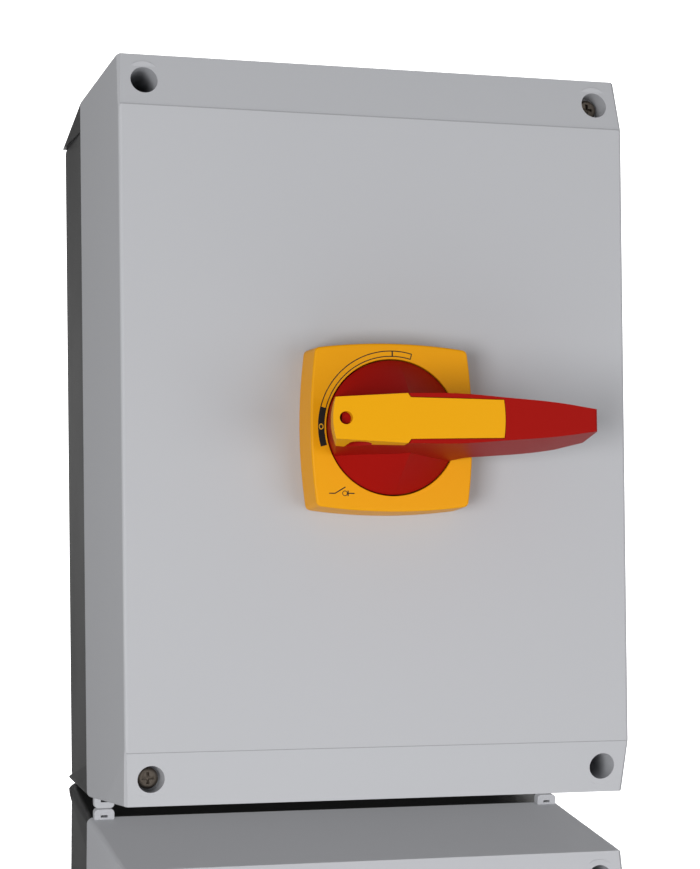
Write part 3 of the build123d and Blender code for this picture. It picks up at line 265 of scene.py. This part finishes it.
# %% [markdown]
# ## Moulded plastics
#
# The enclosure is moulded in a spark-eroded tool, so its plastic has a fine, even grain of about a
# third of a millimetre, which scatters the light softly. The handle's plastics are smoother, with
# a satin gloss. One function makes them all: a base colour that drifts a little over the surface,
# a roughness that drifts with it, and a bump from two sizes of grain.

# %% Plastic material
CLOUD_SCALE = 9.0       # waves to a metre of the slow drift in colour and gloss
COARSE_SHARE = 0.3      # how much of the relief comes from the coarser grain
COARSE_RATIO = 0.28     # its waves to each wave of the fine grain
CLOUD_GLOSS = 0.12      # how far each noise moves the roughness
GRAIN_GLOSS = 0.08


def plastic(name, colour, roughness, grain, grain_depth, drift=0.03, gloss=0.25):
    """A moulded plastic. grain is its size and grain_depth its relief, both in millimetres."""
    material, shader, places = start_material(name)
    clouds = noise(places, CLOUD_SCALE, 3.0)
    dark = [c * (1 - drift) for c in colour]
    light = [min(1.0, c * (1 + drift)) for c in colour]
    fine = noise(places, 1 / (grain * MM), 2.0, 0.6)
    coarse = noise(places, COARSE_RATIO / (grain * MM), 1.0)
    height = fine * (1 - COARSE_SHARE) + coarse * COARSE_SHARE
    relief = places.node("ShaderNodeBump", None, {
        "Height": height, "Strength": 1.0, "Distance": grain_depth * MM})
    drifting = (clouds - 0.5) * CLOUD_GLOSS + (fine - 0.5) * GRAIN_GLOSS + roughness
    feed(shader, Base_Color=clouds.blend(dark, light), Roughness=drifting, Normal=relief)
    shader.inputs["Specular IOR Level"].default_value = gloss
    return material


FINISHES = {
    "cover_grey": plastic("cover_grey", (0.475, 0.482, 0.505), 0.52, 0.35, 0.010, 0.012),
    "base_black": plastic("base_black", (0.010, 0.010, 0.010), 0.42, 0.40, 0.010, 0.10, 0.06),
    "plate_yellow": plastic("plate_yellow", (0.80, 0.345, 0.004), 0.42, 0.25, 0.004, 0.02, 0.12),
    "slide_yellow": plastic("slide_yellow", (0.78, 0.36, 0.002), 0.40, 0.25, 0.004, 0.02, 0.12),
    "handle_red": plastic("handle_red", (0.33, 0.006, 0.004), 0.40, 0.25, 0.005, 0.03, 0.05),
    "rubber": plastic("seal_rubber", (0.018, 0.018, 0.018), 0.75, 0.6, 0.02, 0.1, 0.3),
    "bush_white": plastic("natural_acetal", (0.78, 0.76, 0.70), 0.35, 0.5, 0.003),
    "driver_black": plastic("driver_black", (0.022, 0.022, 0.023), 0.45, 0.4, 0.01, 0.1),
    "chamber_grey": plastic("chamber_grey", (0.16, 0.17, 0.18), 0.55, 0.5, 0.02, 0.06),
    "rotor_black": plastic("rotor_black", (0.025, 0.022, 0.02), 0.4, 0.4, 0.01, 0.1),
    "lid_black": plastic("lid_black", (0.028, 0.028, 0.03), 0.5, 0.4, 0.015, 0.1),
    "block_blue": plastic("block_blue", (0.05, 0.22, 0.52), 0.42, 0.5, 0.01),
    "block_green": plastic("block_green", (0.03, 0.30, 0.08), 0.42, 0.5, 0.01),
}
print("plastics", len(FINISHES))

# %% [markdown]
# ## Metals
#
# Screws and sheet parts are zinc plated: a grey metal with a slightly mottled, brushed surface.
# The terminals are brass and the contacts copper, which is darker and warmer where it has
# tarnished. All of them are one function with a different pair of colours.

# %% Metal material
BRUSH_STRETCH = (1.0, 1.0, 0.06)    # draws the brush lines out along the height
MOTTLE_SCALE = 420.0
MOTTLE_GLOSS = 0.14                 # how far each noise moves the roughness
BRUSH_GLOSS = 0.10
BRUSH_DEPTH = 0.01 * MM


def metal(name, bright, dull, roughness, brush):
    """A metal mottled between two colours, with fine brush lines this many to a metre."""
    material, shader, places = start_material(name)
    stretched = places.node("ShaderNodeMapping", None, {
        "Vector": places, "Scale": BRUSH_STRETCH})
    lines = noise(stretched, brush, 3.0, 0.7)
    mottle = noise(places, MOTTLE_SCALE, 3.0)
    relief = places.node("ShaderNodeBump", None, {
        "Height": lines, "Strength": 0.35, "Distance": BRUSH_DEPTH})
    drifting = mottle * MOTTLE_GLOSS + lines * BRUSH_GLOSS + roughness
    feed(shader, Base_Color=mottle.blend(dull, bright), Roughness=drifting, Normal=relief)
    shader.inputs["Metallic"].default_value = 1.0
    return material


for slot, name, bright, dull, roughness, brush in (
        ("steel", "zinc_plated_screw", (0.22, 0.19, 0.16), (0.12, 0.10, 0.08), 0.34, 5000),
        ("spring_steel", "spring_steel", (0.62, 0.62, 0.62), (0.5, 0.5, 0.5), 0.18, 6000),
        ("zinc_plate", "zinc_plate", (0.70, 0.70, 0.68), (0.58, 0.57, 0.54), 0.26, 3000),
        ("brass", "brass", (0.83, 0.62, 0.26), (0.66, 0.46, 0.17), 0.2, 4000),
        ("copper", "copper", (0.82, 0.44, 0.28), (0.55, 0.25, 0.14), 0.2, 4000)):
    FINISHES[slot] = metal(name, bright, dull, roughness, brush)
print("finishes", len(FINISHES))

# %% [markdown]
# ## Dressing the CAD nodes
#
# The record says which slot each node takes its finish from. Nodes whose shape is right as it
# stays keep their mesh and only get the material. The cover is one of them, because its edges are
# rounded in the CAD model and its creases have to stay crisp. Four other mouldings get more: CAD
# leaves their edges razor sharp, and a real moulding never has a sharp edge. Each is copied, its
# loose triangles are welded and its flat faces cleaned, a Bevel modifier rounds what is left of the
# hard edges, and weighted normals keep the flat faces flat. The copy then stands for the node.

# %% Materials on every node
record = frame["record"]
SLOT_OF = {part["node"]: part["material_slot"] for part in record["subparts"]}
BODY_OF = {name: body for body, names in record["behaviour"]["bodies"].items() for name in names}
for name, node in frame["nodes"].items():
    node.data.materials.clear()
    node.data.materials.append(FINISHES[SLOT_OF[name]])
print("nodes dressed", len(frame["nodes"]))

# %% Softened copies
WELD = 0.002 * MM       # corners closer than this are one corner
FLAT_ANGLE = 0.6        # faces that turn less than this, in degrees, become one face
HARD_ANGLE = 32.0       # edges that turn more than this are rounded
SMOOTH_ANGLE = 28.0     # and those that turn less than this are shaded smooth
BEVEL_SEGMENTS = 3
FLAT_WEIGHT = 100       # large faces decide the normals at their corners


def deselect():
    for each in bpy.context.selected_objects:
        each.select_set(False)


def make_active(piece):
    deselect()
    piece.select_set(True)
    bpy.context.view_layer.objects.active = piece


def apply_modifiers(piece):
    make_active(piece)
    for modifier in list(piece.modifiers):
        bpy.ops.object.modifier_apply(modifier=modifier.name)


def soften(name, width):
    """Puts a welded copy of a CAD node, with its hard edges rounded, in the node's place."""
    node = frame["nodes"][name]
    piece = node.copy()
    piece.data = node.data.copy()
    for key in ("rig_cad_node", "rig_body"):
        if key in piece:
            del piece[key]
    piece.parent = None
    scene.collection.objects.link(piece)
    piece.name = name + "_moulding"
    make_active(piece)
    bpy.ops.object.mode_set(mode="EDIT")
    bpy.ops.mesh.select_all(action="SELECT")
    bpy.ops.mesh.remove_doubles(threshold=WELD)
    bpy.ops.mesh.dissolve_limited(angle_limit=radians(FLAT_ANGLE))
    bpy.ops.object.mode_set(mode="OBJECT")
    bevel = piece.modifiers.new("rounded_edges", "BEVEL")
    bevel.width = width * MM
    bevel.segments = BEVEL_SEGMENTS
    bevel.limit_method = "ANGLE"
    bevel.angle_limit = radians(HARD_ANGLE)
    apply_modifiers(piece)
    bpy.ops.object.shade_smooth_by_angle(angle=radians(SMOOTH_ANGLE))
    flat = piece.modifiers.new("flat_faces", "WEIGHTED_NORMAL")
    flat.weight = FLAT_WEIGHT
    flat.keep_sharp = True
    apply_modifiers(piece)
    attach(piece, BODY_OF[name])
    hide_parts(name)
    print(piece.name, len(piece.data.polygons), "faces")


for name, width in (("handle_body", 0.6), ("padlock_slide", 0.35), ("front_plate", 0.3),
                    ("base_shell", 0.5)):
    soften(name, width)

# %% [markdown]
# ## Printed marks
#
# The plate carries the only printing that a stranger needs: an arc that runs from the black off
# field, with its small yellow nought, up to the on tick and a little past it, and the circuit
# symbol for an isolating switch. Ink has a thickness of a few hundredths of a millimetre. Each
# line is a ring or a bar, cut to length and thickened, and it rides on the cover.

# %% Ink and its tools
INK_T = 0.03 * MM
SMALL_RING = 5.0        # rings up to this radius in mm have fewer corners
FINE_STEPS = 360
COARSE_STEPS = 40
PLATE_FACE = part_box("front_plate")[0].y
COVER_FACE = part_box("cover_shell")[0].y
ink_black = plastic("ink_black", (0.012, 0.011, 0.010), 0.5, 0.3, 0.002)
ink_yellow = plastic("ink_yellow", (0.70, 0.36, 0.02), 0.4, 0.3, 0.002)
# The grey of the crease bars is painted shadow: it stands for the shade cast by the cover's crease
# steps.
painted_crease_shadow = plastic("painted_crease_shadow", (0.33, 0.335, 0.35), 0.6, 0.3, 0.002)


def finish_mark(piece, name, mark_material):
    """Names a flat mark, gives it its thickness and its printed colour or painted shadow, and lets
    it ride on the cover.
    """
    piece.name = name
    make_active(piece)
    bpy.ops.object.transform_apply(location=True, rotation=True, scale=True)
    bpy.ops.object.mode_set(mode="EDIT")
    bpy.ops.mesh.select_all(action="SELECT")
    bpy.ops.mesh.normals_make_consistent(inside=False)
    bpy.ops.object.mode_set(mode="OBJECT")
    thick = piece.modifiers.new("mark_material", "SOLIDIFY")
    thick.thickness = INK_T
    thick.offset = 0.0
    apply_modifiers(piece)
    piece.data.materials.clear()
    piece.data.materials.append(mark_material)
    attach(piece, "cover")


def ring_mark(name, inner, outer, mark_material, first=0, last=360, centre=(0, 0), lift=0.5, stretch=1.0):
    """A flat ring or a part of one, in mm, from one angle to another in degrees.

    lift is in thicknesses of the printed layer, and stretch makes the ring taller.
    """
    steps = FINE_STEPS if outer > SMALL_RING else COARSE_STEPS
    middle = Vector((centre[0] * MM, PLATE_FACE - lift * INK_T, centre[1] * MM))
    deselect()
    bpy.ops.mesh.primitive_circle_add(vertices=steps, radius=outer * MM, location=middle,
                                      rotation=(pi / 2, 0, 0))
    ring = bpy.context.object
    bpy.ops.object.transform_apply(location=True, rotation=True, scale=True)
    bpy.ops.object.mode_set(mode="EDIT")
    bpy.ops.mesh.select_mode(type="EDGE")
    bpy.ops.mesh.select_all(action="SELECT")
    bpy.ops.mesh.extrude_region_move()
    share = inner / outer
    bpy.ops.transform.resize(value=(share, share, share), center_override=middle)
    bpy.ops.mesh.select_all(action="DESELECT")
    bpy.ops.mesh.select_mode(type="FACE")
    mesh = bmesh.from_edit_mesh(ring.data)
    for face in mesh.faces:
        spot = face.calc_center_median() - middle
        angle = degrees(atan2(spot.z, spot.x)) % 360
        face.select_set(not first <= angle <= last)
    bmesh.update_edit_mesh(ring.data)
    bpy.ops.mesh.delete(type="FACE")
    bpy.ops.mesh.select_all(action="SELECT")
    bpy.ops.transform.resize(value=(1, 1, stretch), center_override=middle)
    bpy.ops.object.mode_set(mode="OBJECT")
    finish_mark(ring, name, mark_material)


def bar_mark(name, start, end, width, mark_material, lift=0.5, face=PLATE_FACE):
    """A flat bar in mm from one point to another, on the plate's face or on another one."""
    run = Vector((end[0] - start[0], 0, end[1] - start[1])) * MM
    middle = Vector(((start[0] + end[0]) / 2 * MM, face - lift * INK_T,
                     (start[1] + end[1]) / 2 * MM))
    deselect()
    bpy.ops.mesh.primitive_plane_add(size=1.0, location=middle,
                                     rotation=(pi / 2, -atan2(run.z, run.x), 0))
    bar = bpy.context.object
    bar.scale = (run.length, width * MM, 1)
    finish_mark(bar, name, mark_material)


# %% Position arc, off field and on tick
ARC_OUTER = 28.2
ARC_INNER = 25.9
ARC_END = 74.5          # degrees, anticlockwise from the right
OFF_HALF = 14.8         # half of the off field, in degrees
LINE = 0.36
ring_mark("arc_outer_line", ARC_OUTER - LINE, ARC_OUTER, ink_black, ARC_END, 180 - OFF_HALF)
ring_mark("arc_inner_line", ARC_INNER, ARC_INNER + LINE, ink_black, ARC_END, 180 - OFF_HALF)
ring_mark("off_field", ARC_INNER - 0.1, ARC_OUTER, ink_black, 180 - OFF_HALF, 180 + OFF_HALF)
ring_mark("off_nought", 0.55, 0.88, ink_yellow, centre=(-0.5 * (ARC_INNER + ARC_OUTER), 0),
          lift=1.6, stretch=1.25)


def radial_bar(name, angle, inner, outer, width):
    """A bar that points to the handle's axis, between two radii."""
    across, up = cos(radians(angle)), sin(radians(angle))
    bar_mark(name, (inner * across, inner * up), (outer * across, outer * up), width, ink_black)


radial_bar("arc_end_line", ARC_END + 0.1, ARC_INNER, ARC_OUTER, LINE)
radial_bar("on_tick", 89.8, ARC_INNER + 0.3, ARC_OUTER - 0.3, 0.5)
print("position marks", ARC_INNER, "to", ARC_OUTER, "mm from the axis")

# %% Isolating switch symbol
SYMBOL_Z = -24.2
SYMBOL_LINE = 0.4
STOP_X = -17.2
STOP_HALF = 1.0
bar_mark("symbol_left_wire", (-24.3, SYMBOL_Z), (-22.0, SYMBOL_Z), SYMBOL_LINE, ink_black)
bar_mark("symbol_blade", (-22.1, SYMBOL_Z), (-18.2, SYMBOL_Z + 2.3), SYMBOL_LINE, ink_black)
ring_mark("symbol_circle", 0.75, 1.0, ink_black, centre=(-18.4, SYMBOL_Z))
bar_mark("symbol_stop", (STOP_X, SYMBOL_Z - STOP_HALF), (STOP_X, SYMBOL_Z + STOP_HALF),
         SYMBOL_LINE, ink_black)
bar_mark("symbol_right_wire", (STOP_X, SYMBOL_Z), (-14.8, SYMBOL_Z), SYMBOL_LINE, ink_black)
print("symbol at", STOP_X, SYMBOL_Z)

# %% [markdown]
# ## Crease lines
#
# A small step marks each crease between the flat panel and the sloping strips at its two ends. Its
# shadow is thinner than the light can draw, so a narrow grey bar of painted shadow lies beside each
# step.

# %% Painted shadow line beside each crease of the cover
CREASE_Z = 117.65
CREASE_HALF_W = 97.0
CREASE_LINE = 0.3
for side_name, side in (("upper", 1), ("lower", -1)):
    bar_mark(side_name + "_crease_line", (-CREASE_HALF_W, side * CREASE_Z),
             (CREASE_HALF_W, side * CREASE_Z), CREASE_LINE, painted_crease_shadow, face=COVER_FACE)
print("crease lines at", CREASE_Z)
